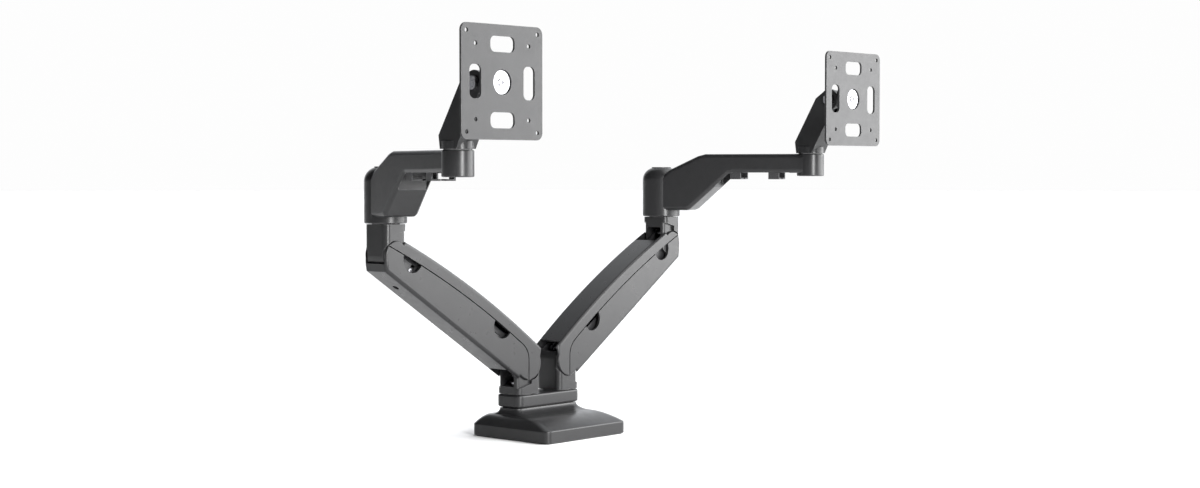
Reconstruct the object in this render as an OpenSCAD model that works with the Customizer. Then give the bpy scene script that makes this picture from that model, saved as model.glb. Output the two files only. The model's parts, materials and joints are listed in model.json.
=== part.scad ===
// Dual gas-spring monitor arm on one base plate.
// Frame: origin at the centre of the base underside, +Z up, screens face -Y.
// The right arm is modelled and the left arm is its mirror image.

/* [Base] */
// Width of the base, left to right
base_w = 140; // [130:1:170]
// Depth of the base, front to back
base_d = 126; // [120:1:150]
// Height of the vertical base edge
base_edge_h = 16; // [12:1:18]
// Height of the base cover beside the pedestal
base_top_h = 29; // [27:1:31]

/* [Yoke] */
// Distance from the middle to each swivel axis
swivel_x = 34; // [33:0.5:40]
// Distance of the swivel axes behind the base centre
swivel_y = 18; // [14:1:20]
// Underside of the yoke deck
yoke_z = 36; // [35:0.5:38]
// Thickness of the yoke deck
yoke_t = 15; // [13:0.5:16]

/* [Lift arm] */
// Distance between the two main pivots of the lift arm
arm_len = 245; // [240:1:280]
// Slope of the lift arm at rest, in degrees
arm_rest = 33.6; // [20:0.2:40]
// Lowest slope of the lift arm, in degrees
arm_low = -14; // [-14:1:0]
// Yaw of the whole arm toward the back at rest, in degrees
arm_yaw = 2; // [0:1:10]
// Height of the lower main pivot above the base underside
pivot_z = 88; // [86:1:92]
// Width of the lift arm and its end blocks
arm_w = 38; // [36:1:40]

/* [Extension] */
// Distance from the elbow axis to the head axis
ext_len = 200; // [180:5:260]
// Outward angle of the extension from straight forward at rest, in degrees
ext_yaw = 20; // [0:1:60]
// Height from the elbow pivot to the underside of the extension hub
hub_rise = 35; // [34:0.5:38]

/* [Head] */
// Side of the square screen plate
plate_w = 115; // [112:1:120]
// Height of the tilt axis above the elbow pivot
tilt_rise = 182; // [181:1:200]
// Distance of the tilt axis in front of the head axis
tilt_reach = 38; // [36:1:44]

/* [Hidden] */
$fn = 48;
eps = 0.01;
parting = 0.6;

// base
pad_t = 2;
plate_t = 4;
plate_z = pad_t;
plate_top = plate_z + plate_t;
cover_t = 2.5;
base_corner = 9;
grommet_r = 4.25;
clamp_x = 80;
clamp_y = 50;
clamp_r = 2.5;
screw_dx = 9;
screw_dy = 9;
screw_r = 3;
pedestal_w = 100;
pedestal_d = 30;
yoke_w = 2 * swivel_x + 40;
yoke_d = 40;
yoke_top = yoke_z + yoke_t;
deck_t = 9;

// swivel joint
washer_t = 0.9;
shaft_r = 6;
fit = 0.05;
block_z = yoke_top + washer_t;
floor_z = pivot_z - 22.8;
bolt_head_r = 10;
bolt_head_t = 6;

// lower and elbow blocks, measured from the main pivots
lower_half = 18.5;
elbow_half = 16;
end_wall = 3.2;
core_half_w = arm_w / 2 - 3.2;
slot_half_w = core_half_w - 4.6;
foot_wall_r = 20;
elbow_wall_r = 16;
pin_r = 4;
link_pin_r = 2.5;
link_rise = 13;
anchor_drop = 15;
block_top = hub_rise - washer_t;

// lift arm section, measured from the line between the main pivots
arm_bottom = -23.5;
arm_crown = 30;
crown_u = 85;
crown_r = 1170;
strip_h = 14;
wall = 2.6;
seam_gap = 0.4;
notch_r = 14;
notch_at = [62, 222];
end_u = arm_len + 2;
bottom_wall_from = 26;
top_slot_from = arm_len - 25;

// channel and links
channel_half_w = slot_half_w - 0.4;
channel_t = 1.8;
channel_low = -19.5;
channel_high = 6.2;
link_in = 5.2;
link_out = 8.4;
link_h = 6;

// gas spring
spring_u = 212;
spring_v = -1;
cylinder_r = 8;
rod_r = 4;
cylinder_from = 13;
cylinder_to = 98;
anchor_pin_r = 3;
anchor_clear = 1.4;
rod_eye_r = 6.2;
anchor_u = -anchor_drop * sin(arm_rest);
anchor_v = -anchor_drop * cos(arm_rest);
spring_angle = atan2(spring_v - anchor_v, spring_u - anchor_u);
spring_len = norm([spring_u - anchor_u, spring_v - anchor_v]);
tension_travel = 5;
nut_low = -15;
nut_high = -8.2;

// elbow and extension, measured from the elbow axis
elbow_x = arm_len * cos(arm_rest);
elbow_z = pivot_z + arm_len * sin(arm_rest);
hub_z = elbow_z + hub_rise;
hub_r = 24;
hub_h = 63;
beam_low = 56;
beam_h = 24;
tip_r = 17;
tip_z = hub_z + beam_low - 4;
tip_top = hub_z + beam_low + beam_h;
beam_wall = 3;
clip_at = [106, 156];

// head, measured from the head axis
head_z = tip_top + washer_t;
tilt_z = elbow_z + tilt_rise;
knuckle_r = 13;
knuckle_half_w = 9;
cheek_t = 5;
plate_y = tilt_reach + 27;
plate_th = 2.5;
plate_boss = 6;
recess_t = 3;
disc_t = 6;
disc_y = plate_y - plate_boss - 0.5;
spindle_r = 8;

// colours
black = [0.16, 0.16, 0.17];
dark = [0.24, 0.24, 0.25];
rubber = [0.08, 0.08, 0.08];
steel = [0.62, 0.63, 0.65];
zinc = [0.75, 0.76, 0.78];
nylon = [0.35, 0.35, 0.36];

// ---------- placement ----------

// Mirror children onto the left side when side is -1
module on_side(side) {
    if (side < 0) mirror([1, 0, 0]) children();
    else children();
}

// Frame of one arm: +X outward along the arm, Z from the base underside
module arm_frame(side) {
    on_side(side) translate([swivel_x, swivel_y, 0]) rotate([0, 0, arm_yaw]) children();
}

// Frame of the lift link: 2D children in (along, up) measured from the lower pivot
module lift_frame(side) {
    arm_frame(side) translate([0, 0, pivot_z]) rotate([0, -arm_rest, 0]) children();
}

// Frame at the elbow pivot, upright
module elbow_frame(side) {
    arm_frame(side) translate([elbow_x, 0, elbow_z]) children();
}

// Frame of the extension: +X along the extension from the elbow axis
module extension_frame(side) {
    on_side(side) translate([swivel_x, swivel_y, 0]) rotate([0, 0, arm_yaw])
        translate([elbow_x, 0, 0]) rotate([0, 0, ext_yaw - 90 - arm_yaw]) children();
}

// Frame of the head: +Z up on the head axis, the screen faces -Y
module head_frame(side) {
    on_side(side) translate([swivel_x, swivel_y, 0]) rotate([0, 0, arm_yaw])
        translate([elbow_x, 0, 0]) rotate([0, 0, ext_yaw - 90 - arm_yaw])
        translate([ext_len, 0, 0]) rotate([0, 0, 90 - ext_yaw]) children();
}

// Extrude a 2D side outline in (x, z) across the arm, from y0 to y1
module slab(y0, y1) {
    translate([0, y1, 0]) rotate([90, 0, 0]) linear_extrude(y1 - y0) children();
}

// Two mirrored slabs, between y0 and y1 from the middle
module slab_pair(y0, y1) {
    slab(y0, y1) children();
    slab(-y1, -y0) children();
}

// A round pin or hole across the arm, at (x, z)
module cross_pin(x, z, r, half_w) {
    translate([x, half_w, z]) rotate([90, 0, 0]) cylinder(r = r, h = 2 * half_w);
}

// Box with round vertical corners, centred on x and y
module rounded_box(w, d, h, r) {
    linear_extrude(h) rounded_rect(w, d, r);
}

module rounded_rect(w, d, r) {
    square([w - 2 * r, d], center = true);
    square([w, d - 2 * r], center = true);
    for (sx = [-1, 1], sy = [-1, 1])
        translate([sx * (w / 2 - r), sy * (d / 2 - r)]) circle(r = r);
}

// ---------- base ----------

module base_pad() {
    color(rubber) difference() {
        rounded_box(base_w - 6, base_d - 6, pad_t, base_corner - 3);
        translate([0, 0, -eps]) cylinder(r = 12, h = pad_t + 1);
        for (sx = [-1, 1], sy = [-1, 1])
            translate([sx * clamp_x / 2, sy * clamp_y / 2, -eps])
                cylinder(r = clamp_r, h = pad_t + 1);
        for (sx = [-1, 1], sy = [-1, 1])
            translate([sx * screw_dx, swivel_y + sy * screw_dy, -eps])
                cylinder(r = 6.5, h = pad_t + 1);
    }
}

module base_plate() {
    color(steel) translate([0, 0, plate_z]) difference() {
        rounded_box(base_w - 6, base_d - 6, plate_t, base_corner - 3);
        translate([0, 0, -eps]) cylinder(r = grommet_r, h = plate_t + 1);
        for (sx = [-1, 1], sy = [-1, 1])
            translate([sx * clamp_x / 2, sy * clamp_y / 2, -eps])
                cylinder(r = clamp_r, h = plate_t + 1);
        for (sx = [-1, 1], sy = [-1, 1])
            translate([sx * screw_dx, swivel_y + sy * screw_dy, -eps])
                cylinder(r = screw_r, h = plate_t + 1);
    }
}

// Solid shape of the base cover, shrunk by a wall thickness
module cover_shape(inset) {
    hull() {
        translate([0, 0, 1]) rounded_box(base_w - 2 * inset, base_d - 2 * inset,
            base_edge_h - 1 - inset / 2, base_corner - inset, $fn = 32);
        translate([0, 8, base_top_h - 1 - inset])
            rounded_box(base_w - 36, base_d - 40, 1, base_corner, $fn = 32);
    }
}

// Flare that leads from the cover up to the pedestal
module cover_flare() {
    hull() {
        translate([0, swivel_y, base_top_h - 2])
            rounded_box(pedestal_w + 20, pedestal_d + 20, 1, 14, $fn = 32);
        translate([0, swivel_y, yoke_z - 2])
            rounded_box(pedestal_w + 6, pedestal_d + 6, 1, 9, $fn = 32);
    }
}

module base_cover() {
    color(black) difference() {
        union() {
            cover_shape(0);
            cover_flare();
        }
        cover_shape(cover_t);
        translate([0, 0, 0.5]) rounded_box(base_w - 5.6, base_d - 5.6, 6, base_corner - 2.8);
        translate([0, swivel_y, 0]) rounded_box(pedestal_w + 0.6, pedestal_d + 0.6, 60, 7.3);
    }
}

module yoke() {
    color(black) translate([0, swivel_y, 0]) difference() {
        union() {
            translate([0, 0, plate_top]) rounded_box(pedestal_w, pedestal_d, yoke_z - plate_top + 1, 7);
            translate([0, 0, yoke_z]) rounded_box(yoke_w, yoke_d, yoke_t, 9);
        }
        for (sx = [-1, 1]) {
            translate([sx * swivel_x, 0, plate_top - eps])
                cylinder(r = 12.5, h = yoke_top - deck_t - plate_top);
            translate([sx * swivel_x, 0, plate_top])
                cylinder(r = shaft_r + fit, h = yoke_top);
        }
        for (sx = [-1, 1], sy = [-1, 1])
            translate([sx * screw_dx, sy * screw_dy, plate_top - eps]) cylinder(r = screw_r, h = 18);
    }
}

module yoke_screws() {
    color(zinc) for (sx = [-1, 1], sy = [-1, 1])
        translate([sx * screw_dx, swivel_y + sy * screw_dy, 0]) {
            translate([0, 0, 0.3]) cylinder(r = 5.5, h = plate_z - 0.3);
            translate([0, 0, plate_z - eps]) cylinder(r = screw_r - 0.02, h = 18);
        }
}

// ---------- swivel ----------

module swivel_washer(side) {
    color(nylon) arm_frame(side) translate([0, 0, yoke_top]) difference() {
        cylinder(r = 17, h = washer_t);
        translate([0, 0, -eps]) cylinder(r = shaft_r + 0.3, h = washer_t + 1);
    }
}

module swivel_bolt(side) {
    color(zinc) arm_frame(side) difference() {
        union() {
            translate([0, 0, yoke_top - deck_t - 12]) cylinder(r = shaft_r, h = floor_z - yoke_top + deck_t + 12);
            translate([0, 0, floor_z - bolt_head_t]) cylinder(r = bolt_head_r, h = bolt_head_t);
        }
        translate([0, 0, floor_z - 4]) cylinder(r = 4, h = 5, $fn = 6);
    }
}

module swivel_nut(side) {
    color(zinc) arm_frame(side) difference() {
        union() {
            translate([0, 0, yoke_top - deck_t - 10]) cylinder(r = 9.5, h = 8.5, $fn = 6);
            translate([0, 0, yoke_top - deck_t - 1.5 - eps]) cylinder(r = 11, h = 1.4);
        }
        translate([0, 0, yoke_top - deck_t - 14]) cylinder(r = shaft_r + 0.02, h = 20);
    }
}

// ---------- lower block ----------

// Underside of the lift arm at its lowest slope, as a height beside the lower pivot
function sweep_low(x) = pivot_z + (arm_bottom - parting) / cos(arm_low) + x * tan(arm_low);

// Full-width part of the lower block, clear of the turning arm
module foot_outline() {
    clear_r = 24.4;
    difference() {
        translate([-lower_half, block_z]) square([2 * lower_half, pivot_z - block_z - 6]);
        translate([0, pivot_z]) circle(r = foot_wall_r + parting);
        intersection() {
            translate([0, pivot_z]) circle(r = clear_r);
            translate([-3.5, 0]) square([50, 200]);
        }
        polygon([[-1.5, sweep_low(-1.5)], [40, sweep_low(40)], [40, 120], [-1.5, 120]]);
    }
}

// Narrow part of the lower block, between the side walls of the arm covers
module lower_core_outline() {
    translate([-lower_half, block_z]) square([2 * lower_half, pivot_z - block_z]);
    translate([0, pivot_z]) circle(r = lower_half);
}

// Relief in the floor of the slot for the gas rod at its lowest slope
module rod_relief() {
    from = 4;
    to = 20;
    slab(-slot_half_w, slot_half_w)
        polygon([[from, floor_z], [to, floor_z + to * tan(arm_low)], [to, floor_z + 1], [from, floor_z + 1]]);
}

module lower_block(side) {
    color(black) arm_frame(side) difference() {
        union() {
            intersection() {
                slab(-arm_w / 2, arm_w / 2) foot_outline();
                translate([0, 0, block_z]) rounded_box(2 * lower_half, arm_w, 60, 7);
            }
            intersection() {
                slab(-core_half_w, core_half_w) lower_core_outline();
                translate([0, 0, block_z]) rounded_box(2 * lower_half, 2 * core_half_w, 80, 5);
            }
        }
        translate([end_wall - lower_half, -slot_half_w, floor_z]) cube([100, 2 * slot_half_w, 80]);
        rod_relief();
        translate([0, 0, floor_z - bolt_head_t]) cylinder(r = bolt_head_r + 0.02, h = 30);
        translate([0, 0, block_z - 1]) cylinder(r = shaft_r + 0.02, h = 30);
        cross_pin(0, pivot_z, pin_r, 40);
        cross_pin(0, pivot_z + link_rise, link_pin_r, 40);
        cross_pin(0, pivot_z - anchor_drop, anchor_pin_r, 40);
    }
}

module lower_pins(side) {
    color(zinc) arm_frame(side) {
        cross_pin(0, pivot_z, pin_r - 0.02, core_half_w);
        cross_pin(0, pivot_z + link_rise, link_pin_r - 0.02, core_half_w);
        cross_pin(0, pivot_z - anchor_drop, anchor_pin_r - 0.02, core_half_w);
    }
}

// ---------- lift arm ----------

// Outline below the crown curve; drop lowers the curve
module under_crown(drop) {
    intersection() {
        translate([-60, -60]) square([arm_len + 120, 140]);
        translate([crown_u, arm_crown - drop - crown_r]) circle(r = crown_r, $fn = 720);
    }
}

// Side outline of the closed lift arm, shrunk by a wall thickness
module arm_outline(inset) {
    low = arm_bottom + inset;
    intersection() {
        under_crown(inset);
        union() {
            polygon([[4, low], [end_u - inset / 2, low],
                [arm_len + 7.8 - inset, -17.2 + inset / 2], [arm_len + 13.3 - inset, -8.9],
                [arm_len, 0], [arm_len - 6, 40], [-4.2, 40], [-11.5 + inset, 16.1],
                [0, 0], [4, 0]]);
            circle(r = foot_wall_r);
            translate([arm_len, 0]) circle(r = elbow_wall_r);
        }
    }
}

// Strip between the seam and the crown
module strip_outline() {
    difference() {
        arm_outline(0);
        under_crown(strip_h);
    }
}

module trough_outline() {
    intersection() {
        arm_outline(0);
        under_crown(strip_h + seam_gap);
    }
}

module top_cover(side) {
    half = arm_w / 2;
    color(black) lift_frame(side) difference() {
        slab(-half, half) strip_outline();
        slab(-half + wall, half - wall) under_crown(wall);
        translate([top_slot_from, -core_half_w - 0.5, 0]) cube([80, 2 * core_half_w + 1, 80]);
        translate([-60, -core_half_w - 0.5, 0]) cube([62, 2 * core_half_w + 1, 80]);
    }
}

module bottom_cover(side) {
    half = arm_w / 2;
    color(black) lift_frame(side) difference() {
        slab(-half, half) trough_outline();
        slab(-half + wall, half - wall) difference() {
            translate([-60, -60]) square([arm_len + 120, 140]);
            difference() {
                translate([bottom_wall_from, -60]) square([arm_len - bottom_wall_from, 60]);
                translate([-60, arm_bottom + wall]) square([arm_len + 60, 80]);
                circle(r = foot_wall_r);
            }
            difference() {
                translate([arm_len, -60]) square([20, 43]);
                translate([arm_len, 0]) circle(r = elbow_half + parting);
            }
        }
        for (u = notch_at) notch(u);
        translate([spring_u, 0, -40]) cylinder(r = 4, h = 30);
    }
}

// Half-round opening that hangs below the seam, through both side walls
module notch(u) {
    v = arm_crown - strip_h - pow(u - crown_u, 2) / (2 * crown_r);
    tilt = -atan((u - crown_u) / crown_r);
    slab(-40, 40) translate([u, v]) rotate(tilt) intersection() {
        circle(r = notch_r);
        translate([-20, -20]) square([40, 20]);
    }
}

// Side plates of the steel channel
module channel_side() {
    neck_r = 9.5;
    intersection() {
        union() {
            circle(r = neck_r);
            translate([arm_len, 0]) circle(r = neck_r);
            polygon([[0, -neck_r + 0.5], [11, -neck_r + 0.5], [28, channel_low],
                [arm_len - 24, channel_low], [arm_len - 10, -neck_r + 0.5],
                [arm_len, -neck_r + 0.5], [arm_len, channel_high], [0, channel_high]]);
        }
        translate([-20, channel_low]) square([arm_len + 40, 60]);
    }
}

module channel(side) {
    color(steel) lift_frame(side) difference() {
        union() {
            slab_pair(channel_half_w - channel_t, channel_half_w) channel_side();
            slab(-channel_half_w, channel_half_w)
                translate([30, channel_low]) square([arm_len - 60, channel_t]);
        }
        cross_pin(0, 0, pin_r + fit, 40);
        cross_pin(arm_len, 0, pin_r + fit, 40);
        for (dv = [-tension_travel, 0, tension_travel])
            cross_pin(spring_u, spring_v + dv, anchor_pin_r, 40);
        slab(-40, 40) translate([spring_u - anchor_pin_r, spring_v - tension_travel])
            square([2 * anchor_pin_r, 2 * tension_travel]);
        translate([spring_u, 0, channel_low - 1]) cylinder(r = 2.5, h = 4);
    }
}

// Upper pin of the gas spring, held by the tension nut
module spring_pin(side) {
    color(zinc) lift_frame(side) cross_pin(spring_u, spring_v, anchor_pin_r - 0.02, channel_half_w);
}

// Fork that carries the upper spring pin and climbs on the tension screw
module tension_nut(side) {
    half = channel_half_w - channel_t - 0.1;
    color(nylon) lift_frame(side) difference() {
        translate([spring_u - 5, -half, nut_low]) cube([10, 2 * half, spring_v + 5 - nut_low]);
        translate([spring_u - 8, -4.7, nut_high]) cube([16, 9.4, 40]);
        cross_pin(spring_u, spring_v, anchor_pin_r, 40);
        translate([spring_u, 0, -30]) cylinder(r = 2.5, h = 30);
    }
}

// Screw that sets the spring's leverage, turned by a key from below
module tension_screw(side) {
    low = channel_low + channel_t;
    color(zinc) lift_frame(side) translate([spring_u, 0, 0]) difference() {
        union() {
            translate([0, 0, low]) cylinder(r = 4, h = nut_low - low - 0.1);
            translate([0, 0, low]) cylinder(r = 2.48, h = nut_high - low);
        }
        translate([0, 0, low - 1]) cylinder(r = 1.5, h = 2.6, $fn = 6);
    }
}

// ---------- levelling link and gas spring ----------

module level_link(side) {
    color(steel) arm_frame(side) translate([0, 0, pivot_z + link_rise]) rotate([0, -arm_rest, 0])
        difference() {
            union() {
                slab_pair(link_in, link_out) {
                    circle(r = 5.2);
                    translate([arm_len, 0]) circle(r = 5.2);
                    translate([0, -link_h / 2]) square([arm_len, link_h]);
                }
                translate([60, -link_out, 0]) cube([110, 2 * link_out, link_h / 2]);
            }
            cross_pin(0, 0, link_pin_r + 0.1, 40);
            cross_pin(arm_len, 0, link_pin_r + 0.1, 40);
        }
}

// Frame along the gas spring, from its upper pin towards its lower pin
module spring_frame(side) {
    lift_frame(side) translate([spring_u, 0, spring_v]) rotate([0, 180 - spring_angle, 0]) children();
}

module gas_cylinder(side) {
    color(dark) spring_frame(side) difference() {
        union() {
            translate([cylinder_from, 0, 0]) rotate([0, 90, 0])
                cylinder(r = cylinder_r, h = cylinder_to - cylinder_from);
            slab(-4.5, 4.5) {
                circle(r = 6);
                translate([0, -5]) square([cylinder_from + 1, 10]);
            }
        }
        cross_pin(0, 0, anchor_pin_r + fit, 40);
        translate([cylinder_from + 8, 0, 0]) rotate([0, 90, 0])
            cylinder(r = rod_r + fit, h = cylinder_to);
    }
}

module gas_rod(side) {
    color(zinc) spring_frame(side) difference() {
        union() {
            translate([cylinder_from + 26, 0, 0]) rotate([0, 90, 0])
                cylinder(r = rod_r, h = spring_len - cylinder_from - 26 - 4);
            translate([spring_len, 0, 0]) slab(-4.5, 4.5) circle(r = rod_eye_r);
        }
        cross_pin(spring_len, 0, anchor_pin_r + anchor_clear, 40);
    }
}

// ---------- elbow block ----------

// Full-width part of the elbow block above the turning arm, about the elbow pivot
module elbow_outline() {
    step = 22.6;
    difference() {
        translate([-elbow_half, 2]) square([2 * elbow_half, block_top - 2]);
        circle(r = elbow_wall_r + parting);
        polygon([[3, 0], [3, step], [-30, step + 30 * tan(-arm_low) + 1], [-30, 0]]);
    }
}

module elbow_core_outline() {
    translate([-elbow_half, 0]) square([2 * elbow_half, block_top]);
    circle(r = elbow_half);
}

module elbow_block(side) {
    color(black) elbow_frame(side) difference() {
        union() {
            intersection() {
                slab(-arm_w / 2, arm_w / 2) elbow_outline();
                translate([0, 0, -30]) rounded_box(2 * elbow_half, arm_w, 90, 7);
            }
            intersection() {
                slab(-core_half_w, core_half_w) elbow_core_outline();
                translate([0, 0, -30]) rounded_box(2 * elbow_half, 2 * core_half_w, 90, 5);
            }
        }
        translate([-50, -slot_half_w, -50])
            cube([50 + elbow_half - end_wall, 2 * slot_half_w, 50 + link_rise + 8]);
        cross_pin(0, 0, pin_r, 40);
        cross_pin(0, link_rise, link_pin_r, 40);
        translate([0, 0, link_rise + 9]) cylinder(r = shaft_r + 0.02, h = 30);
    }
}

module elbow_pins(side) {
    color(zinc) elbow_frame(side) {
        cross_pin(0, 0, pin_r - 0.02, core_half_w);
        cross_pin(0, link_rise, link_pin_r - 0.02, core_half_w);
    }
}

module elbow_shaft(side) {
    color(zinc) elbow_frame(side) union() {
        translate([0, 0, link_rise + 9]) cylinder(r = shaft_r, h = hub_rise + 44 - link_rise - 9);
        translate([0, 0, hub_rise + 40.2]) cylinder(r = 11, h = 3);
    }
}

module elbow_washer(side) {
    color(nylon) elbow_frame(side) translate([0, 0, block_top]) difference() {
        cylinder(r = 15.5, h = washer_t);
        translate([0, 0, -eps]) cylinder(r = shaft_r + 0.3, h = washer_t + 1);
    }
}

// ---------- extension arm ----------

// Side outline of the beam
module beam_side() {
    polygon([[0, 8], [44, 8], [100, beam_low], [ext_len, beam_low],
        [ext_len, beam_low + beam_h], [62, beam_low + beam_h], [10, beam_low], [0, beam_low]]);
}

// Hollow under the beam for cables
module beam_hollow() {
    polygon([[78, 0], [78, beam_low - 2], [102, beam_low + beam_h - 4],
        [ext_len - tip_r - 6, beam_low + beam_h - 4], [ext_len - tip_r - 6, 0]]);
}

module beam_plan(inset) {
    polygon([[0, -hub_r + 2 + inset], [ext_len, -tip_r + 1 + inset],
        [ext_len, tip_r - 1 - inset], [0, hub_r - 2 - inset]]);
}

module hub_solid() {
    dome = 16;
    rotate_extrude() intersection() {
        union() {
            square([hub_r, hub_h - dome]);
            square([hub_r - dome, hub_h]);
            translate([hub_r - dome, hub_h - dome]) circle(r = dome);
        }
        square([hub_r, hub_h]);
    }
}

module extension_arm(side) {
    color(black) extension_frame(side) translate([0, 0, hub_z]) difference() {
        union() {
            hub_solid();
            intersection() {
                slab(-40, 40) beam_side();
                linear_extrude(100) beam_plan(0);
            }
            translate([ext_len, 0, beam_low - 4]) cylinder(r = tip_r, h = beam_h + 4);
        }
        intersection() {
            slab(-40, 40) beam_hollow();
            translate([0, 0, -1]) linear_extrude(100) beam_plan(beam_wall);
        }
        translate([0, 0, -1]) cylinder(r = shaft_r + fit, h = 60);
        translate([0, 0, 40]) cylinder(r = 14, h = 40);
        translate([ext_len, 0, 0]) cylinder(r = shaft_r + fit, h = 100);
        translate([ext_len, 0, beam_low - 5]) cylinder(r = 11.5, h = 7);
    }
}

module hub_cap(side) {
    color(dark) extension_frame(side) translate([0, 0, hub_z + hub_h - 6]) difference() {
        union() {
            cylinder(r = 13.9, h = 5);
            translate([0, 0, 4]) cylinder(r = 12.5, h = 2.5);
        }
        translate([0, 0, -1]) cylinder(r = 11.5, h = 4.5);
    }
}

// Snap-in clips that hold cables under the beam
module cable_clips(side) {
    color(dark) extension_frame(side) translate([0, 0, hub_z + beam_low]) for (t = clip_at) {
        half = hub_r - 2 - (hub_r - tip_r - 1) * (t + 7) / ext_len - beam_wall - 0.05;
        translate([t, 0, 0]) difference() {
            translate([-7, -half, -8]) cube([14, 2 * half, 20]);
            translate([-8, -half + 2, -6]) cube([16, 2 * half - 4, 30]);
            translate([-8, -3, -10]) cube([16, 6, 8]);
        }
    }
}

// ---------- head ----------

module head_washer(side) {
    color(nylon) head_frame(side) translate([0, 0, tip_top]) difference() {
        cylinder(r = 15, h = washer_t);
        translate([0, 0, -eps]) cylinder(r = shaft_r + 0.3, h = washer_t + 1);
    }
}

// Side outline of the neck of the head bracket, (-y, z) from the head axis
module neck_outline() {
    polygon([[-12, head_z], [12, head_z], [16, head_z + 8], [tilt_reach + 6, tilt_z - 11],
        [tilt_reach - 8, tilt_z + 10], [tilt_reach - 20, tilt_z + 2], [-14, head_z + 14]]);
    translate([tilt_reach, tilt_z]) circle(r = knuckle_r);
}

// Slab across x for head parts, whose outline is (-y, z)
module head_slab(x0, x1) {
    translate([x0, 0, 0]) rotate([0, 0, -90]) rotate([90, 0, 0]) mirror([0, 0, 1])
        linear_extrude(x1 - x0) children();
}

module head_bracket(side) {
    half = knuckle_half_w + cheek_t;
    color(black) head_frame(side) difference() {
        union() {
            translate([0, 0, head_z]) cylinder(r = tip_r, h = 8);
            translate([0, 0, tip_z + 2]) cylinder(r = shaft_r, h = head_z - tip_z + 2);
            translate([0, 0, tip_z + 2.4]) cylinder(r = 10.5, h = 3);
            head_slab(-half, half) neck_outline();
        }
        translate([-knuckle_half_w - 0.2, -tilt_reach - 40, tilt_z - knuckle_r - 3])
            cube([2 * knuckle_half_w + 0.4, 40 + knuckle_r + 3, 60]);
        translate([-40, -tilt_reach, tilt_z]) rotate([0, 90, 0]) cylinder(r = pin_r, h = 80);
    }
}

module tilt_bolt(side) {
    half = knuckle_half_w + cheek_t;
    color(zinc) head_frame(side) translate([0, -tilt_reach, tilt_z]) rotate([0, 90, 0]) {
        translate([0, 0, -half - 4]) cylinder(r = 7, h = 4, $fn = 6);
        translate([0, 0, -half - 4 + eps]) cylinder(r = pin_r - 0.02, h = 2 * half + 8);
        translate([0, 0, half]) cylinder(r = 7, h = 5);
    }
}

module tilt_block(side) {
    color(black) head_frame(side) difference() {
        union() {
            translate([-knuckle_half_w, -tilt_reach, tilt_z]) rotate([0, 90, 0])
                cylinder(r = knuckle_r - 1, h = 2 * knuckle_half_w);
            translate([-knuckle_half_w, -disc_y, tilt_z - 9])
                cube([2 * knuckle_half_w, disc_y - tilt_reach, 18]);
            translate([0, -disc_y + disc_t, tilt_z]) rotate([90, 0, 0])
                cylinder(r = 20, h = disc_t);
            translate([0, -disc_y + disc_t, tilt_z]) rotate([90, 0, 0])
                cylinder(r = spindle_r, h = plate_y - recess_t - disc_y + disc_t - 0.1);
        }
        translate([-40, -tilt_reach, tilt_z]) rotate([0, 90, 0]) cylinder(r = pin_r + fit, h = 80);
        translate([0, -plate_y - 10, tilt_z]) rotate([-90, 0, 0]) cylinder(r = 2.5, h = 22);
    }
}

// Plate with both common screw patterns and four windows
module screen_plate(side) {
    color(black) head_frame(side) translate([0, -plate_y, tilt_z]) rotate([-90, 0, 0]) difference() {
        union() {
            rounded_box(plate_w, plate_w, plate_th, 8);
            cylinder(r = 16, h = plate_boss);
        }
        translate([0, 0, -1]) cylinder(r = spindle_r + fit, h = 20);
        translate([0, 0, -1]) cylinder(r = 12.6, h = recess_t + 1);
        for (sx = [-1, 1], sy = [-1, 1]) {
            translate([sx * 50, sy * 50, -1]) cylinder(r = 2.25, h = 10);
            translate([sx * 37.5, sy * 37.5, -1]) cylinder(r = 2.25, h = 10);
        }
        for (a = [0, 90, 180, 270]) rotate(a) translate([38, 0, -1])
            rounded_box(16, 34, 10, 6);
    }
}

module plate_retainer(side) {
    disc_at = recess_t - 1.4;
    color(zinc) head_frame(side) translate([0, -plate_y, tilt_z]) rotate([-90, 0, 0])
        difference() {
            union() {
                translate([0, 0, disc_at]) cylinder(r = 12, h = 1.3);
                translate([0, 0, 0.1]) cylinder(r = 4.5, h = disc_at);
                translate([0, 0, disc_at]) cylinder(r = 2.48, h = 10);
            }
            translate([0, 0, -1]) cylinder(r = 2, h = 2.6, $fn = 6);
        }
}

base_pad();
base_plate();
base_cover();
yoke();
yoke_screws();
swivel_washer(-1);  // left_swivel_washer
swivel_bolt(-1);  // left_swivel_bolt
swivel_nut(-1);  // left_swivel_nut
lower_block(-1);  // left_lower_block
lower_pins(-1);  // left_lower_pins
channel(-1);  // left_channel
top_cover(-1);  // left_top_cover
bottom_cover(-1);  // left_bottom_cover
level_link(-1);  // left_level_link
gas_cylinder(-1);  // left_gas_cylinder
gas_rod(-1);  // left_gas_rod
tension_nut(-1);  // left_tension_nut
tension_screw(-1);  // left_tension_screw
spring_pin(-1);  // left_spring_pin
elbow_block(-1);  // left_elbow_block
elbow_pins(-1);  // left_elbow_pins
elbow_shaft(-1);  // left_elbow_shaft
elbow_washer(-1);  // left_elbow_washer
extension_arm(-1);  // left_extension_arm
cable_clips(-1);  // left_cable_clips
hub_cap(-1);  // left_hub_cap
head_washer(-1);  // left_head_washer
head_bracket(-1);  // left_head_bracket
tilt_bolt(-1);  // left_tilt_bolt
tilt_block(-1);  // left_tilt_block
screen_plate(-1);  // left_screen_plate
plate_retainer(-1);  // left_plate_retainer
swivel_washer(1);  // right_swivel_washer
swivel_bolt(1);  // right_swivel_bolt
swivel_nut(1);  // right_swivel_nut
lower_block(1);  // right_lower_block
lower_pins(1);  // right_lower_pins
channel(1);  // right_channel
top_cover(1);  // right_top_cover
bottom_cover(1);  // right_bottom_cover
level_link(1);  // right_level_link
gas_cylinder(1);  // right_gas_cylinder
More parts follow.
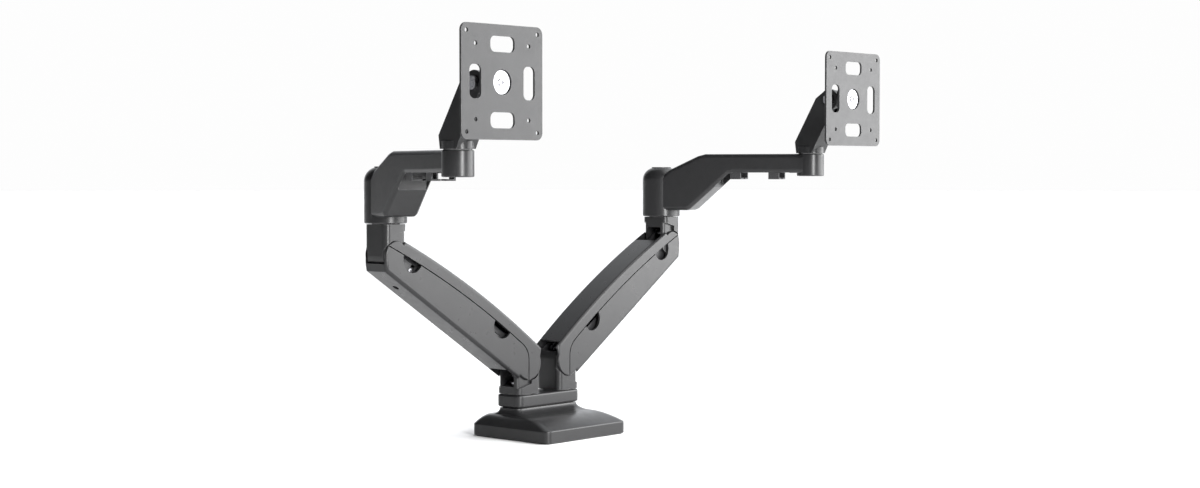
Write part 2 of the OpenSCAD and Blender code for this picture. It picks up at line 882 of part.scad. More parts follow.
gas_rod(1);  // right_gas_rod
tension_nut(1);  // right_tension_nut
tension_screw(1);  // right_tension_screw
spring_pin(1);  // right_spring_pin
elbow_block(1);  // right_elbow_block
elbow_pins(1);  // right_elbow_pins
elbow_shaft(1);  // right_elbow_shaft
elbow_washer(1);  // right_elbow_washer
extension_arm(1);  // right_extension_arm
cable_clips(1);  // right_cable_clips
hub_cap(1);  // right_hub_cap
head_washer(1);  // right_head_washer
head_bracket(1);  // right_head_bracket
tilt_bolt(1);  // right_tilt_bolt
tilt_block(1);  // right_tilt_block
screen_plate(1);  // right_screen_plate
plate_retainer(1);  // right_plate_retainer
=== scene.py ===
"""Looks of a dual gas-spring monitor arm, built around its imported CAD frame.

The visible shells are lofted and cut in millimetres, each in a frame worked out from the joints. Those of the
arms are made once, for the right side, and mirrored for the left. CAD nodes that stay get softened edges, and
every piece gets a procedural material.
"""

import json
import math
from math import cos, radians, sin, sqrt

import bmesh
import bpy
from mathutils import Matrix, Vector


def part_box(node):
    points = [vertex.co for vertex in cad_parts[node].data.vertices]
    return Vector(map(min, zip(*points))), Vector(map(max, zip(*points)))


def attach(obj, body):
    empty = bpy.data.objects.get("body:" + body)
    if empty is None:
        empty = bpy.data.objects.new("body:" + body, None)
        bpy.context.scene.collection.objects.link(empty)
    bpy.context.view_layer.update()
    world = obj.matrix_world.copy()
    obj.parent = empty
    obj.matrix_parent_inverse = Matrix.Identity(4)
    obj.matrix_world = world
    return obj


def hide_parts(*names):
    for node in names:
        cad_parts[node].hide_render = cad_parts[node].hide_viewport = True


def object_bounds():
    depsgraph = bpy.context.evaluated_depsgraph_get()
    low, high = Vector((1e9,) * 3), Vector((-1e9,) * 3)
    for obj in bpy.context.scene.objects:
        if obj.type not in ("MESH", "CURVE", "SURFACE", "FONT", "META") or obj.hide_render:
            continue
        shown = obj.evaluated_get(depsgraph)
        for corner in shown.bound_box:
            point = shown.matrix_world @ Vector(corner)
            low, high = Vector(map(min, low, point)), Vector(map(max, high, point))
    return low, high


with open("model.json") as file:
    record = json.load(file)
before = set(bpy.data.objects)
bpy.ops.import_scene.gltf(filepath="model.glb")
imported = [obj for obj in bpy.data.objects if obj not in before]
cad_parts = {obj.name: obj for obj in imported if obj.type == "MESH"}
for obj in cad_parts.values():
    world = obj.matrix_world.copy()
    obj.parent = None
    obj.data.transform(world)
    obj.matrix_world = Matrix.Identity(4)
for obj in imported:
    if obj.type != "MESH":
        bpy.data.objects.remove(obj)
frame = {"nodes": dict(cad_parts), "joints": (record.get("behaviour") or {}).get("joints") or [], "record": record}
CAD_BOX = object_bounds()
JOINTS = {joint["name"]: joint for joint in frame["joints"]}
NODES = frame["nodes"]
MM = 0.001
UP = Vector((0, 0, 1))


# ---------- frames, all for the right side ----------

def joint_at(name):
    return Vector(JOINTS[name]["pos_m"])


def frame_at(origin, along):
    """Matrix from millimetres in a local frame to metres: X along a direction, Y level, Z upward."""
    x = along.normalized()
    y = UP.cross(x).normalized()
    z = x.cross(y)
    turn = Matrix((x, y, z)).transposed().to_4x4()
    return Matrix.Translation(origin) @ turn @ Matrix.Scale(MM, 4)


def level(v):
    return Vector((v.x, v.y, 0))


LOWER_PIVOT = joint_at("right_arm_lift")
ELBOW_PIVOT = joint_at("right_elbow_level")
HUB_SEAT = joint_at("right_extension_swivel")
HEAD_SEAT = joint_at("right_head_turn")
ALONG_ARM = ELBOW_PIVOT - LOWER_PIVOT
ALONG_EXTENSION = level(HEAD_SEAT - HUB_SEAT)
ARM_LEN = ALONG_ARM.length / MM
EXT_LEN = ALONG_EXTENSION.length / MM
ARM_SLOPE = math.asin(ALONG_ARM.z / ALONG_ARM.length)

WORLD = Matrix.Scale(MM, 4)
LIFT = frame_at(LOWER_PIVOT, ALONG_ARM)
EXTENSION = frame_at(HUB_SEAT, ALONG_EXTENSION)
MIRROR = Matrix.Scale(-1, 4, (1, 0, 0))


def span(node, local):
    """Lowest and highest corner of a CAD node in a local frame, in millimetres."""
    to_local = local.inverted()
    points = [to_local @ v.co for v in NODES[node].data.vertices]
    low = Vector([min(p[k] for p in points) for k in range(3)])
    high = Vector([max(p[k] for p in points) for k in range(3)])
    return low, high


# ---------- shapes in millimetres ----------

def arc(cx, cz, r, start, end, step=6):
    """Points on an arc, in degrees, both ends included."""
    count = max(2, int(abs(end - start) / step) + 1)
    turns = [radians(start + (end - start) * k / count) for k in range(count + 1)]
    return [(cx + r * cos(a), cz + r * sin(a)) for a in turns]


def loft(loops, ring=False):
    """Skin over loops of equal length. The ends are capped, or joined to each other in a ring."""
    bm = bmesh.new()
    rows = [[bm.verts.new(p) for p in loop] for loop in loops]
    pairs = list(zip(rows, rows[1:]))
    if ring:
        pairs.append((rows[-1], rows[0]))
    for a, b in pairs:
        for i in range(len(a)):
            j = (i + 1) % len(a)
            bm.faces.new((a[i], a[j], b[j], b[i]))
    if not ring:
        bm.faces.new(rows[0])
        bm.faces.new(rows[-1])
    bmesh.ops.recalc_face_normals(bm, faces=bm.faces)
    mesh = bpy.data.meshes.new("shape")
    bm.to_mesh(mesh)
    bm.free()
    return mesh


def round_rectangle(x0, x1, y0, y1, z, r, steps=7):
    """Level rectangle with round corners, as a loop."""
    corners = ((x1 - r, y1 - r, 0), (x0 + r, y1 - r, 90), (x0 + r, y0 + r, 180), (x1 - r, y0 + r, 270))
    loop = []
    for cx, cy, start in corners:
        for k in range(steps + 1):
            a = radians(start + 90 * k / steps)
            loop.append((cx + r * cos(a), cy + r * sin(a), z))
    return loop


def inward(outline):
    """Inward offset of each point of a counter-clockwise outline, for an inset of 1."""
    found = []
    for i, point in enumerate(outline):
        before = Vector(point) - Vector(outline[i - 1])
        after = Vector(outline[(i + 1) % len(outline)]) - Vector(point)
        n0 = Vector((-before.y, before.x)).normalized()
        n1 = Vector((-after.y, after.x)).normalized()
        middle = (n0 + n1).normalized()
        found.append(middle / max(0.6, middle.dot(n1)))
    return found


def eased(outline, softness, radius):
    """Softness that falls off gently towards the crisp corners of an outline."""
    found = list(softness)
    count = len(outline)
    for turn in (1, -1):
        for k in range(2 * count):
            i, j = (turn * k) % count, (turn * (k - 1)) % count
            gap = (Vector(outline[i]) - Vector(outline[j])).length
            found[i] = min(found[i], found[j] + 0.4 * gap / radius)
    return found


def soft_prism(outline, y0, y1, radius, softness=None, steps=5):
    """Solid across Y from y0 to y1 over an (x, z) outline.

    Its edges are rounded by the radius times each point's softness.
    """
    softness = eased(outline, softness or [1] * len(outline), radius)
    offsets = inward(outline)
    loops = []
    for face, other in ((y0, 1), (y1, -1)):
        rows = []
        for k in range(steps + 1):
            a = radians(90 * k / steps)
            y = face + other * radius * (1 - cos(a))
            inset = radius * (1 - sin(a))
            rows.append([(p[0] + o.x * inset * s, y, p[1] + o.y * inset * s)
                         for p, o, s in zip(outline, offsets, softness)])
        loops += rows if other > 0 else rows[::-1]
    return loft(loops)


def post(x, y, r, z0, z1, sides=48):
    """Round upright cutter."""
    turn = [radians(360 * k / sides) for k in range(sides)]
    return loft([[(x + r * cos(a), y + r * sin(a), z) for a in turn] for z in (z0, z1)])


def turned(profile, sides=72):
    """Solid of revolution about Z over (radius, height) points."""
    turn = [radians(360 * k / sides) for k in range(sides)]
    return loft([[(r * cos(a), r * sin(a), z) for a in turn] for r, z in profile])


def cut(mesh, tools, operation="DIFFERENCE"):
    """The mesh after exact booleans with each tool."""
    scene = bpy.context.scene.collection
    body = bpy.data.objects.new("work", mesh)
    helpers = [bpy.data.objects.new("tool", tool) for tool in tools]
    for piece in [body, *helpers]:
        scene.objects.link(piece)
    for helper in helpers:
        step = body.modifiers.new("cut", "BOOLEAN")
        step.operation = operation
        step.solver = "EXACT"
        step.object = helper
    graph = bpy.context.evaluated_depsgraph_get()
    result = bpy.data.meshes.new_from_object(body.evaluated_get(graph))
    for piece in [body, *helpers]:
        bpy.data.objects.remove(piece)
    return result


# ---------- materials ----------

class Recipe:
    """A procedural material: object-space noise in millimetres drives colour, roughness and bump."""

    def __init__(self, name, metallic=0.0, specular=0.5, coat=0.0, coat_rough=0.2):
        self.made = bpy.data.materials.new(name)
        self.made.use_nodes = True
        self.tree = self.made.node_tree
        self.shader = self.tree.nodes["Principled BSDF"]
        self.shader.inputs["Metallic"].default_value = metallic
        self.shader.inputs["Specular IOR Level"].default_value = specular
        self.shader.inputs["Coat Weight"].default_value = coat
        self.shader.inputs["Coat Roughness"].default_value = coat_rough
        self.place = self.node("ShaderNodeTexCoord").outputs["Object"]

    def node(self, kind, **values):
        made = self.tree.nodes.new(kind)
        for key, value in values.items():
            if hasattr(made, key):
                setattr(made, key, value)
            else:
                made.inputs[key.replace("_", " ")].default_value = value
        return made

    def link(self, source, target):
        self.tree.links.new(source, target)

    def noise(self, size_mm, detail=3.0, stretch=(1, 1, 1)):
        """Noise whose features are about size_mm across, stretched along an axis by a factor below 1."""
        scale = self.node("ShaderNodeMapping")
        scale.inputs["Scale"].default_value = [s / (size_mm * MM) for s in stretch]
        self.link(self.place, scale.inputs["Vector"])
        noise = self.node("ShaderNodeTexNoise", Scale=1.0, Detail=detail)
        self.link(scale.outputs["Vector"], noise.inputs["Vector"])
        return noise.outputs["Fac"]

    def remap(self, value, low, high, source_low=0.3, source_high=0.7):
        ranged = self.node("ShaderNodeMapRange")
        self.link(value, ranged.inputs["Value"])
        ranged.inputs["From Min"].default_value = source_low
        ranged.inputs["From Max"].default_value = source_high
        ranged.inputs["To Min"].default_value = low
        ranged.inputs["To Max"].default_value = high
        return ranged.outputs["Result"]

    def blend(self, factor, a, b):
        mix = self.node("ShaderNodeMix", data_type="RGBA")
        self.link(factor, mix.inputs["Factor"])
        for socket, colour in ((mix.inputs["A"], a), (mix.inputs["B"], b)):
            if isinstance(colour, tuple):
                socket.default_value = (*colour, 1)
            else:
                self.link(colour, socket)
        return mix.outputs["Result"]

    def product(self, a, b):
        times = self.node("ShaderNodeMath", operation="MULTIPLY")
        self.link(a, times.inputs[0])
        self.link(b, times.inputs[1])
        return times.outputs["Value"]

    def edges(self, radius_mm, patch_mm):
        """Mask of rubbed edges, broken up by noise."""
        rounded = self.node("ShaderNodeBevel", samples=4, Radius=radius_mm * MM)
        plain = self.node("ShaderNodeNewGeometry")
        dot = self.node("ShaderNodeVectorMath", operation="DOT_PRODUCT")
        self.link(rounded.outputs["Normal"], dot.inputs[0])
        self.link(plain.outputs["Normal"], dot.inputs[1])
        edge = self.remap(dot.outputs["Value"], 1.0, 0.0, 0.9, 0.995)
        return self.product(edge, self.remap(self.noise(patch_mm), 0.0, 1.0, 0.42, 0.62))

    def colour(self, value):
        self.link(value, self.shader.inputs["Base Color"])

    def roughness(self, value):
        self.link(value, self.shader.inputs["Roughness"])

    def bump(self, height, strength, depth_mm):
        made = self.node("ShaderNodeBump", Strength=strength, Distance=depth_mm * MM)
        self.link(height, made.inputs["Height"])
        self.link(made.outputs["Normal"], self.shader.inputs["Normal"])


def tone(colour, factor):
    return tuple(c * factor for c in colour)


def coated(name, base, rough, grain_mm, strength, worn, specular=0.5, coat=0.0):
    """Powder coat, paint or moulded plastic: mottled colour, grain and rubbed edges."""
    made = Recipe(name, specular=specular, coat=coat)
    body = made.blend(made.remap(made.noise(14), 0, 1), tone(base, 0.92), tone(base, 1.08))
    fleck = made.blend(made.remap(made.noise(grain_mm * 1.6), 0, 1, 0.35, 0.75), body, tone(base, 1.25))
    made.colour(made.blend(made.edges(0.9, 6), fleck, worn))
    made.roughness(made.remap(made.noise(9), rough - 0.03, rough + 0.03))
    made.bump(made.noise(grain_mm, 4.0), strength, 0.06)
    return made.made


def plated(name, base, rough, streak, strength=0.15, patch=0.1):
    """Bare or zinc-plated steel: fine streaks along one axis and cloudy patches."""
    made = Recipe(name, metallic=1.0)
    cloud = made.remap(made.noise(5), 0, 1)
    body = made.blend(cloud, tone(base, 1 - patch), tone(base, 1 + patch))
    lines = made.noise(0.35, 4.0, streak)
    made.colour(made.blend(made.remap(lines, 0, 0.35), body, tone(base, 0.7)))
    made.roughness(made.remap(lines, rough - 0.07, rough + 0.12))
    made.bump(lines, strength, 0.02)
    return made.made


def glass_filled_nylon():
    made = Recipe("nylon_grey", specular=0.3)
    base = (0.12, 0.12, 0.12)
    fibres = made.noise(0.5, 5.0, (1, 0.15, 1))
    made.colour(made.blend(made.remap(fibres, 0, 1), tone(base, 0.8), tone(base, 1.3)))
    made.roughness(made.remap(made.noise(4), 0.5, 0.66))
    made.bump(fibres, 0.2, 0.04)
    return made.made


def pad_rubber():
    made = Recipe("pad_rubber", specular=0.3)
    base = (0.022, 0.022, 0.022)
    made.colour(made.blend(made.remap(made.noise(3), 0, 1), tone(base, 0.8), tone(base, 1.6)))
    made.roughness(made.remap(made.noise(2), 0.78, 0.92))
    made.bump(made.noise(0.6, 4.0), 0.4, 0.08)
    return made.made


WORN = (0.075, 0.075, 0.078)
MATERIALS = {
    "cast": coated("cast_powder_coat", (0.012, 0.012, 0.0125), 0.32, 0.55, 0.16, WORN, 0.3),
    "shell": coated("shell_plastic", (0.012, 0.012, 0.0125), 0.30, 0.35, 0.12, WORN, 0.3),
    "trim": coated("trim_plastic", (0.025, 0.025, 0.026), 0.42, 0.4, 0.2, WORN, 0.3),
    "sheet": coated("sheet_powder_coat", (0.014, 0.014, 0.0145), 0.40, 0.7, 0.24, WORN, 0.3),
    "steel": coated("sheet_steel_electrocoat", (0.02, 0.02, 0.021), 0.4, 0.8, 0.14, WORN, 0.3),
    "hardware": plated("hardware_zinc", (0.42, 0.42, 0.44), 0.3, (1, 0.1, 1)),
    "spring_tube": coated("spring_tube_paint", (0.02, 0.02, 0.021), 0.2, 1.5, 0.04, WORN, coat=0.5),
    "rod": plated("rod_chrome", (0.75, 0.76, 0.78), 0.1, (0.1, 1, 1), 0.03, 0.03),
    "nylon": glass_filled_nylon(),
    "rubber": pad_rubber(),
}


# ---------- pieces ----------

def soften(piece, width_mm, angle=35):
    """Smooth shading, with a small round on every sharp edge."""
    piece.data.shade_smooth()
    piece.data.set_sharp_from_angle(angle=radians(angle))
    if width_mm > 0:
        edge = piece.modifiers.new("edge", "BEVEL")
        edge.width = width_mm * MM
        edge.segments = 2
        edge.limit_method = "ANGLE"
        edge.angle_limit = radians(angle)
        edge.miter_outer = "MITER_ARC"
    shade = piece.modifiers.new("shade", "WEIGHTED_NORMAL")
    shade.keep_sharp = True
    shade.weight = 60


def add_piece(name, mesh, local, body, nodes, slot):
    """Shows a mesh, given in a local frame in millimetres, in place of CAD nodes."""
    mesh.transform(local)
    if local.determinant() < 0:
        mesh.flip_normals()
    piece = bpy.data.objects.new(name, mesh)
    bpy.context.scene.collection.objects.link(piece)
    mesh.materials.clear()
    mesh.materials.append(MATERIALS[slot])
    soften(piece, 0)
    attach(piece, body)
    if nodes:
        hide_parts(*nodes)
    return piece


def add_pair(name, mesh, local, body, nodes, slot):
    """The same piece on both sides, mirrored on the left."""
    for side, turn in (("right", Matrix.Identity(4)), ("left", MIRROR)):
        add_piece(f"{side}_{name}", mesh.copy(), turn @ local, f"{side}_{body}",
                  [f"{side}_{node}" for node in nodes], slot)


# ---------- base ----------

STEM_SIDE = 4
STEM_FRONT = 5
YOKE_T = 15
DECK_T = 9
NUT_POCKET_R = 12.5
SHAFT_R = 6.05


def base_cover():
    """Sloped cover with a concave flare up to the yoke, open underneath."""
    low, high = span("base_cover", WORLD)
    deck_low, deck_high = span("yoke", WORLD)
    edge_top = 14.0
    shoulder = 26.5
    wall = 2.4
    top = high.z - 0.2
    x_edge, x_shoulder, x_top = high.x, 57.5, deck_high.x - 0.3
    f_edge, f_shoulder, f_top = low.y, -24.0, deck_low.y + STEM_FRONT - 2
    b_edge, b_shoulder, b_top = high.y, 50.0, deck_high.y - STEM_FRONT + 2
    bottom = low.z + 0.05

    def row(x, front, back, z, r):
        return round_rectangle(-x, x, front, back, z, r)

    rows = [row(x_edge - 0.6, f_edge + 0.6, b_edge - 0.6, bottom, 8.4),
            row(x_edge, f_edge, b_edge, bottom + 0.6, 9)]
    rim = 2.2
    for k in range(5):
        a = radians(11.25 * k)
        inset = rim * (1 - cos(a))
        rows.append(row(x_edge - inset, f_edge + inset, b_edge - inset, edge_top + rim * sin(a), 9))
    start_x, start_f, start_b = x_edge - inset, f_edge + inset, b_edge - inset
    start_z = edge_top + rim * sin(a)
    for k in range(1, 7):
        t = k / 6
        rise = start_z + (shoulder - start_z) * (1 - (1 - t) ** 1.6)
        rows.append(row(start_x + (x_shoulder - start_x) * t, start_f + (f_shoulder - start_f) * t,
                        start_b + (b_shoulder - start_b) * t, rise, 9 + 3 * t))
    for k in range(1, 10):
        a = radians(10 * k)
        swing = 1 - sin(a)
        rows.append(row(x_top + (x_shoulder - x_top) * swing, f_top + (f_shoulder - f_top) * swing,
                        b_top + (b_shoulder - b_top) * swing, top - (top - shoulder) * cos(a),
                        12 - 3 * sin(a)))
    hole_x = x_top - STEM_SIDE + 0.6
    hole_f, hole_b = deck_low.y + STEM_FRONT - 0.3, deck_high.y - STEM_FRONT + 0.3
    rows.append(row(hole_x, hole_f, hole_b, top, 7.2))
    rows.append(row(hole_x, hole_f, hole_b, shoulder - wall, 7.2))
    rows.append(row(x_shoulder - wall, f_shoulder + wall, b_shoulder - wall, shoulder - wall - 0.6, 9))
    rows.append(row(x_edge - wall, f_edge + wall, b_edge - wall, edge_top - 1, 7))
    rows.append(row(x_edge - wall, f_edge + wall, b_edge - wall, bottom, 7))
    add_piece("base_cover_shell", loft(rows, ring=True), WORLD, "base", ["base_cover"], "cast")


def yoke():
    """Deck with round edges on a narrower stem, bored for the two swivels."""
    low, high = span("yoke", WORLD)
    deck_z = high.z - YOKE_T
    swivel = LOWER_PIVOT / MM
    lip = 2.4
    x, front, back = high.x, low.y, high.y

    def row(inset, z, r):
        return round_rectangle(-x + inset, x - inset, front + inset, back - inset, z, r)

    def stem(z, grow):
        return round_rectangle(-x + STEM_SIDE - grow, x - STEM_SIDE + grow, front + STEM_FRONT - grow,
                               back - STEM_FRONT + grow, z, 7 + grow)

    rows = [stem(low.z, 0), stem(deck_z - 1.5, 0), stem(deck_z - 0.4, 0.4), stem(deck_z, 1.4)]
    rows.append(row(lip, deck_z, 9 - lip))
    for k in range(1, 6):
        a = radians(18 * k)
        rows.append(row(lip * (1 - sin(a)), deck_z + lip * (1 - cos(a)), 9 - lip * (1 - sin(a))))
    for k in range(0, 6):
        a = radians(18 * k)
        rows.append(row(lip * (1 - cos(a)), high.z - lip * (1 - sin(a)), 9 - lip * (1 - cos(a))))
    tools = []
    for side in (-1, 1):
        tools.append(post(side * swivel.x, swivel.y, NUT_POCKET_R, low.z - 1, high.z - DECK_T))
        tools.append(post(side * swivel.x, swivel.y, SHAFT_R, low.z - 1, high.z + 1))
    add_piece("yoke_casting", cut(loft(rows), tools), WORLD, "base", ["yoke"], "cast")


# ---------- lift arm ----------

CROWN_TOP = 30
CROWN_AT = 85
CROWN_R = 1170
STRIP = 14
FOOT_R = 20
TOP_R = 16
WALL = 2.6
SEAM_GAP = 0.5
BEND_R = 24
NOTCH_R = 14
CRISP = 0.12
NOTCHES = (62, 222)


def crown(u, drop=0.0):
    return CROWN_TOP - drop - (u - CROWN_AT) ** 2 / (2 * CROWN_R)


def crown_line(u0, u1, drop=0.0):
    count = max(2, int(abs(u1 - u0) / 6))
    return [(u0 + (u1 - u0) * k / count, crown(u0 + (u1 - u0) * k / count, drop)) for k in range(count + 1)]


def on_disc(cx, r, drop):
    """Angle, in degrees, at which a disc's outer side meets a line parallel to the crown."""
    a = 0.0
    side = 1 if cx > 0 else -1
    for _ in range(20):
        a = math.asin(crown(cx + side * r * cos(a), drop) / r)
    return math.degrees(a)


def seam(gap):
    """Parting line from the upper end down to the foot, where it bends to stand upright at rest."""
    drop = STRIP + gap
    down = Vector((-sin(ARM_SLOPE), -cos(ARM_SLOPE)))
    shift = Vector((cos(ARM_SLOPE), -sin(ARM_SLOPE))) * gap
    meet = Vector((8.9, crown(8.9, drop))) + shift
    turn = radians(90) - ARM_SLOPE
    reach = BEND_R * math.tan(turn / 2)
    start = meet.x + reach
    heading = math.atan2(crown(start, drop) - crown(start - 1, drop), 1)
    centre = Vector((start, crown(start, drop))) + BEND_R * Vector((sin(heading), -cos(heading)))
    top = Vector((ARM_LEN, 0))
    a0 = on_disc(ARM_LEN, TOP_R, drop)
    points = crown_line(top.x + TOP_R * cos(radians(a0)), start, drop)
    upright = math.degrees(heading) + 90
    bend = arc(centre.x, centre.y, BEND_R, upright, upright + math.degrees(turn))
    points += bend[1:]
    last = Vector(points[-1])
    b = last.dot(down)
    foot = last + down * (-b + sqrt(b * b - last.length_squared + FOOT_R ** 2))
    points.append(tuple(foot))
    return points, a0, math.degrees(math.atan2(foot.y, foot.x)) % 360


def with_notches(line):
    """The seam, walked towards the foot, with a half-round dip at each notch."""
    points = list(line)
    for u in NOTCHES:
        tilt = -math.degrees(math.atan((u - CROWN_AT) / CROWN_R))
        dip = arc(u, crown(u, STRIP + SEAM_GAP), NOTCH_R, tilt, tilt - 180, 9)
        before = [p for p in points if p[0] > dip[0][0] + 1]
        after = [p for p in points if p[0] < dip[-1][0] - 1]
        points = before + dip + after
    return points


def top_cover():
    """Strip over the crown of the arm, whose lower end runs down beside the foot."""
    half = span("right_top_cover", LIFT)[1].y
    line, a0, a1 = seam(0.0)
    end = arc(ARM_LEN, 0, TOP_R, a0, 98.5)
    over = crown_line(ARM_LEN - 2.9, -8.35)
    foot = arc(0, 0, FOOT_R, 125.5, a1)
    outline = end + over + foot + line[::-1][1:-1]
    softness = [CRISP] + [0.6] * (len(end) - 1) + [1] * len(over)
    softness += [0.6] * (len(foot) - 1) + [CRISP] * (len(line) - 1)
    outside = soft_prism(outline, -half, half, 3.4, softness)
    inner = half - WALL
    under = crown_line(-60, ARM_LEN + 60, WALL)
    hollow = soft_prism([(-60, -60), (ARM_LEN + 60, -60)] + under[::-1], -inner, inner, 0.01, steps=1)
    slot = inner - 0.1
    upper_slot = soft_prism([(ARM_LEN - 25, 0), (ARM_LEN + 60, 0), (ARM_LEN + 60, 60), (ARM_LEN - 25, 60)],
                            -slot, slot, 0.01, steps=1)
    lower_slot = soft_prism([(-60, 0), (2, 0), (2, 60), (-60, 60)], -slot, slot, 0.01, steps=1)
    add_pair("top_cover_shell", cut(outside, [hollow, upper_slot, lower_slot]), LIFT, "lift",
             ["top_cover"], "shell")


def bottom_cover():
    """Trough under the seam, with a half-round opening near each end and a key hole underneath."""
    low, high = span("right_bottom_cover", LIFT)
    half, floor = high.y, low.z
    line, a0, a1 = seam(SEAM_GAP)
    keel = [(4, floor), (ARM_LEN + 2, floor), (ARM_LEN + 7.8, floor + 6.3)]
    end = arc(ARM_LEN, 0, TOP_R, -33.8, a0)
    foot = arc(0, 0, FOOT_R, a1, 281.5)
    edge = with_notches(line[1:-1])
    outline = keel + end + edge + foot
    softness = [1] * 3 + [0.8] * (len(end) - 1) + [CRISP] * (len(edge) + 2) + [0.6] * (len(foot) - 1)
    outside = soft_prism(outline, -half, half, 4.2, softness)
    inner = half - WALL
    inside = [(-60, -60), (26, -60), (26, floor + WALL), (ARM_LEN, floor + WALL), (ARM_LEN, -17),
              (ARM_LEN + 20, -17), (ARM_LEN + 20, 80), (-60, 80)]
    tools = [soft_prism(inside, -inner, inner, 0.01, steps=1)]
    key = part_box("right_tension_screw")
    at = LIFT.inverted() @ ((key[0] + key[1]) / 2)
    tools.append(post(at.x, 0, 4, floor - 5, floor + 6))
    add_pair("bottom_cover_shell", cut(outside, tools), LIFT, "lift", ["bottom_cover"], "shell")


# ---------- extension ----------

HUB_R = 24
HUB_TOP = 63
HUB_DOME = 16
BEAM_LOW = 56
BEAM_TOP = 80
BEAM_HALF = 22
TIP_HALF = 16
TIP_R = 17
CAP_R = 14
CAP_FLOOR = 40
CLAMP_R = 11.5
SKIN = 3
ROOF = 4


def tapered(mesh):
    """Narrows a beam towards the head, from a half width of BEAM_HALF to TIP_HALF."""
    for v in mesh.vertices:
        v.co.y *= (BEAM_HALF + (TIP_HALF - BEAM_HALF) * v.co.x / EXT_LEN) / BEAM_HALF
    return mesh


def moved(mesh, x):
    mesh.transform(Matrix.Translation((x, 0, 0)))
    return mesh


def extension_arm():
    """Round hub, a beam that climbs out of it, and a round tip, hollow underneath for cables."""
    dome = [(HUB_R - HUB_DOME + r, HUB_TOP - HUB_DOME + z) for r, z in arc(0, 0, HUB_DOME, 0, 84)]
    hub = turned([(HUB_R - 1, 0), (HUB_R, 1)] + dome)
    side = [(6, 8), (41, 8), (46, 10), (97, BEAM_LOW - 1.5), (103, BEAM_LOW), (EXT_LEN, BEAM_LOW),
            (EXT_LEN, BEAM_TOP), (66, BEAM_TOP), (56, BEAM_TOP - 2.5), (18, BEAM_LOW + 4), (6, BEAM_LOW - 6)]
    beam = tapered(soft_prism(side, -BEAM_HALF, BEAM_HALF, 5))
    low = BEAM_LOW - 4
    tip = moved(turned([(TIP_R - 1.5, low), (TIP_R - 0.4, low + 0.4), (TIP_R, low + 1.5),
                        (TIP_R, BEAM_TOP - 1.5), (TIP_R - 0.4, BEAM_TOP - 0.4), (TIP_R - 1.5, BEAM_TOP)]),
                EXT_LEN)
    solid = cut(hub, [beam, tip], "UNION")
    far = EXT_LEN - TIP_R - 6
    roof = BEAM_TOP - ROOF
    inner = BEAM_HALF - SKIN
    hollow = tapered(soft_prism([(78, 0), (far, 0), (far, roof), (102, roof), (78, BEAM_LOW - 2)],
                                -inner, inner, 1.5, steps=3))
    tools = [hollow, post(0, 0, SHAFT_R, -1, 45), post(0, 0, CAP_R, CAP_FLOOR, 90),
             post(EXT_LEN, 0, SHAFT_R, 0, 100), post(EXT_LEN, 0, CLAMP_R, low - 1, low + 6)]
    add_pair("extension_casting", cut(solid, tools), EXTENSION, "extension", ["extension_arm"], "cast")


# ---------- CAD nodes that stay ----------

EDGES = {"cast": 0.8, "shell": 0.4, "trim": 0.3, "sheet": 0.3, "steel": 0.2, "hardware": 0.25,
         "spring_tube": 0.4, "rod": 0.2, "nylon": 0.2, "rubber": 0.3}


def slot_of(node):
    for row in frame["record"]["subparts"]:
        if row["node"] == node:
            return row["material_slot"]
    raise KeyError(node)


def finish_nodes():
    """Materials and softened edges for every CAD node that is still shown."""
    for name, node in NODES.items():
        if node.hide_render:
            continue
        slot = slot_of(name)
        node.data.materials.clear()
        node.data.materials.append(MATERIALS[slot])
        weld = node.modifiers.new("weld", "WELD")
        weld.merge_threshold = 1e-6
        flat = node.modifiers.new("flat", "DECIMATE")
        flat.decimate_type = "DISSOLVE"
        flat.angle_limit = radians(0.6)
        soften(node, EDGES[slot])


# ---------- stage ----------

CAMERA_AT = Vector((-1.680, -1.599, 0.3165))
LENS = 58
BRIGHT_SIDE = Vector((0.94, 0.15, 0.1))
DARK_SKY = 0.05
BRIGHT_SKY = 1.8
GLOW_STARTS = 0.1
GLOW_FULL = 0.75


def camera():
    data = bpy.data.cameras.new("view")
    data.lens = LENS
    data.sensor_width = 36
    eye = bpy.data.objects.new("view", data)
    bpy.context.scene.collection.objects.link(eye)
    low, high = CAD_BOX
    eye.location = CAMERA_AT
    eye.rotation_euler = ((low + high) / 2 - CAMERA_AT).to_track_quat("-Z", "Y").to_euler()
    bpy.context.scene.camera = eye


def panel(name, at, size, watts):
    """Soft box that faces the middle of the object."""
    data = bpy.data.lights.new(name, "AREA")
    data.shape = "RECTANGLE"
    data.size, data.size_y = size
    data.energy = watts
    light = bpy.data.objects.new(name, data)
    bpy.context.scene.collection.objects.link(light)
    low, high = CAD_BOX
    light.location = at
    light.rotation_euler = ((low + high) / 2 - Vector(at)).to_track_quat("-Z", "Y").to_euler()


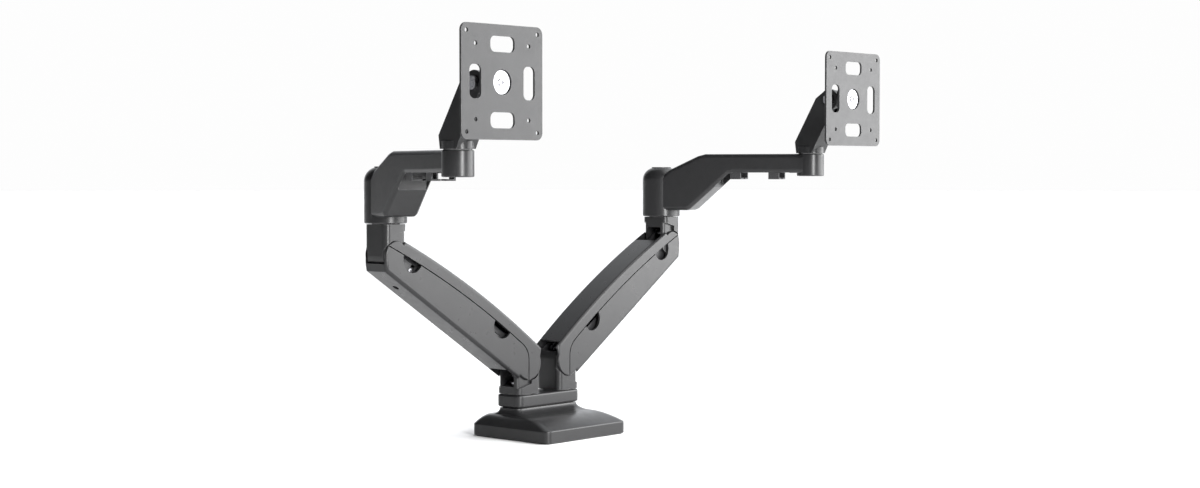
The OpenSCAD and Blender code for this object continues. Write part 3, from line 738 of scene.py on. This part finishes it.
def sky():
    """Pale backdrop for the eye. The light it gives is bright on one side and dark on the other."""
    world = bpy.data.worlds.new("studio")
    world.use_nodes = True
    tree = world.node_tree
    tree.nodes.clear()
    seen = tree.nodes.new("ShaderNodeBackground")
    seen.inputs["Color"].default_value = (0.985, 0.985, 0.985, 1)
    lit = tree.nodes.new("ShaderNodeBackground")
    lit.inputs["Color"].default_value = (0.95, 0.97, 1.0, 1)
    towards = tree.nodes.new("ShaderNodeTexCoord")
    dot = tree.nodes.new("ShaderNodeVectorMath")
    dot.operation = "DOT_PRODUCT"
    dot.inputs[1].default_value = BRIGHT_SIDE.normalized()
    glow = tree.nodes.new("ShaderNodeMapRange")
    glow.inputs["From Min"].default_value = GLOW_STARTS
    glow.inputs["From Max"].default_value = GLOW_FULL
    glow.inputs["To Min"].default_value = DARK_SKY
    glow.inputs["To Max"].default_value = BRIGHT_SKY
    tree.links.new(towards.outputs["Generated"], dot.inputs[0])
    tree.links.new(dot.outputs["Value"], glow.inputs["Value"])
    tree.links.new(glow.outputs["Result"], lit.inputs["Strength"])
    path = tree.nodes.new("ShaderNodeLightPath")
    mix = tree.nodes.new("ShaderNodeMixShader")
    out = tree.nodes.new("ShaderNodeOutputWorld")
    tree.links.new(path.outputs["Is Camera Ray"], mix.inputs["Fac"])
    tree.links.new(lit.outputs["Background"], mix.inputs[1])
    tree.links.new(seen.outputs["Background"], mix.inputs[2])
    tree.links.new(mix.outputs["Shader"], out.inputs["Surface"])
    bpy.context.scene.world = world


def floor():
    """Large pale disc under the object."""
    radius = 30
    mesh = loft([[(radius * cos(radians(a)), radius * sin(radians(a)), z) for a in range(0, 360, 6)]
                 for z in (-0.02, CAD_BOX[0].z)])
    ground = bpy.data.objects.new("floor", mesh)
    bpy.context.scene.collection.objects.link(ground)
    made = Recipe("floor_paint", specular=0.2)
    pale = (0.86, 0.86, 0.86)
    made.colour(made.blend(made.remap(made.noise(300), 0, 1), tone(pale, 0.99), tone(pale, 1.01)))
    made.roughness(made.remap(made.noise(60), 0.75, 0.85))
    mesh.materials.append(made.made)


def studio():
    camera()
    sky()
    floor()
    sun = bpy.data.lights.new("key", "SUN")
    sun.energy = 3.2
    sun.angle = radians(70)
    key = bpy.data.objects.new("key", sun)
    bpy.context.scene.collection.objects.link(key)
    key.rotation_euler = Vector((-0.45, 0.5, -0.75)).to_track_quat("-Z", "Y").to_euler()
    panel("front_box", (1.6, -1.5, 0.5), (2.2, 1.6), 85)
    panel("edge_strip", (-0.75, -2.2, 0.45), (0.4, 1.8), 120)
    bpy.context.scene.view_settings.view_transform = "Standard"


studio()
base_cover()
yoke()
top_cover()
bottom_cover()
extension_arm()
finish_nodes()
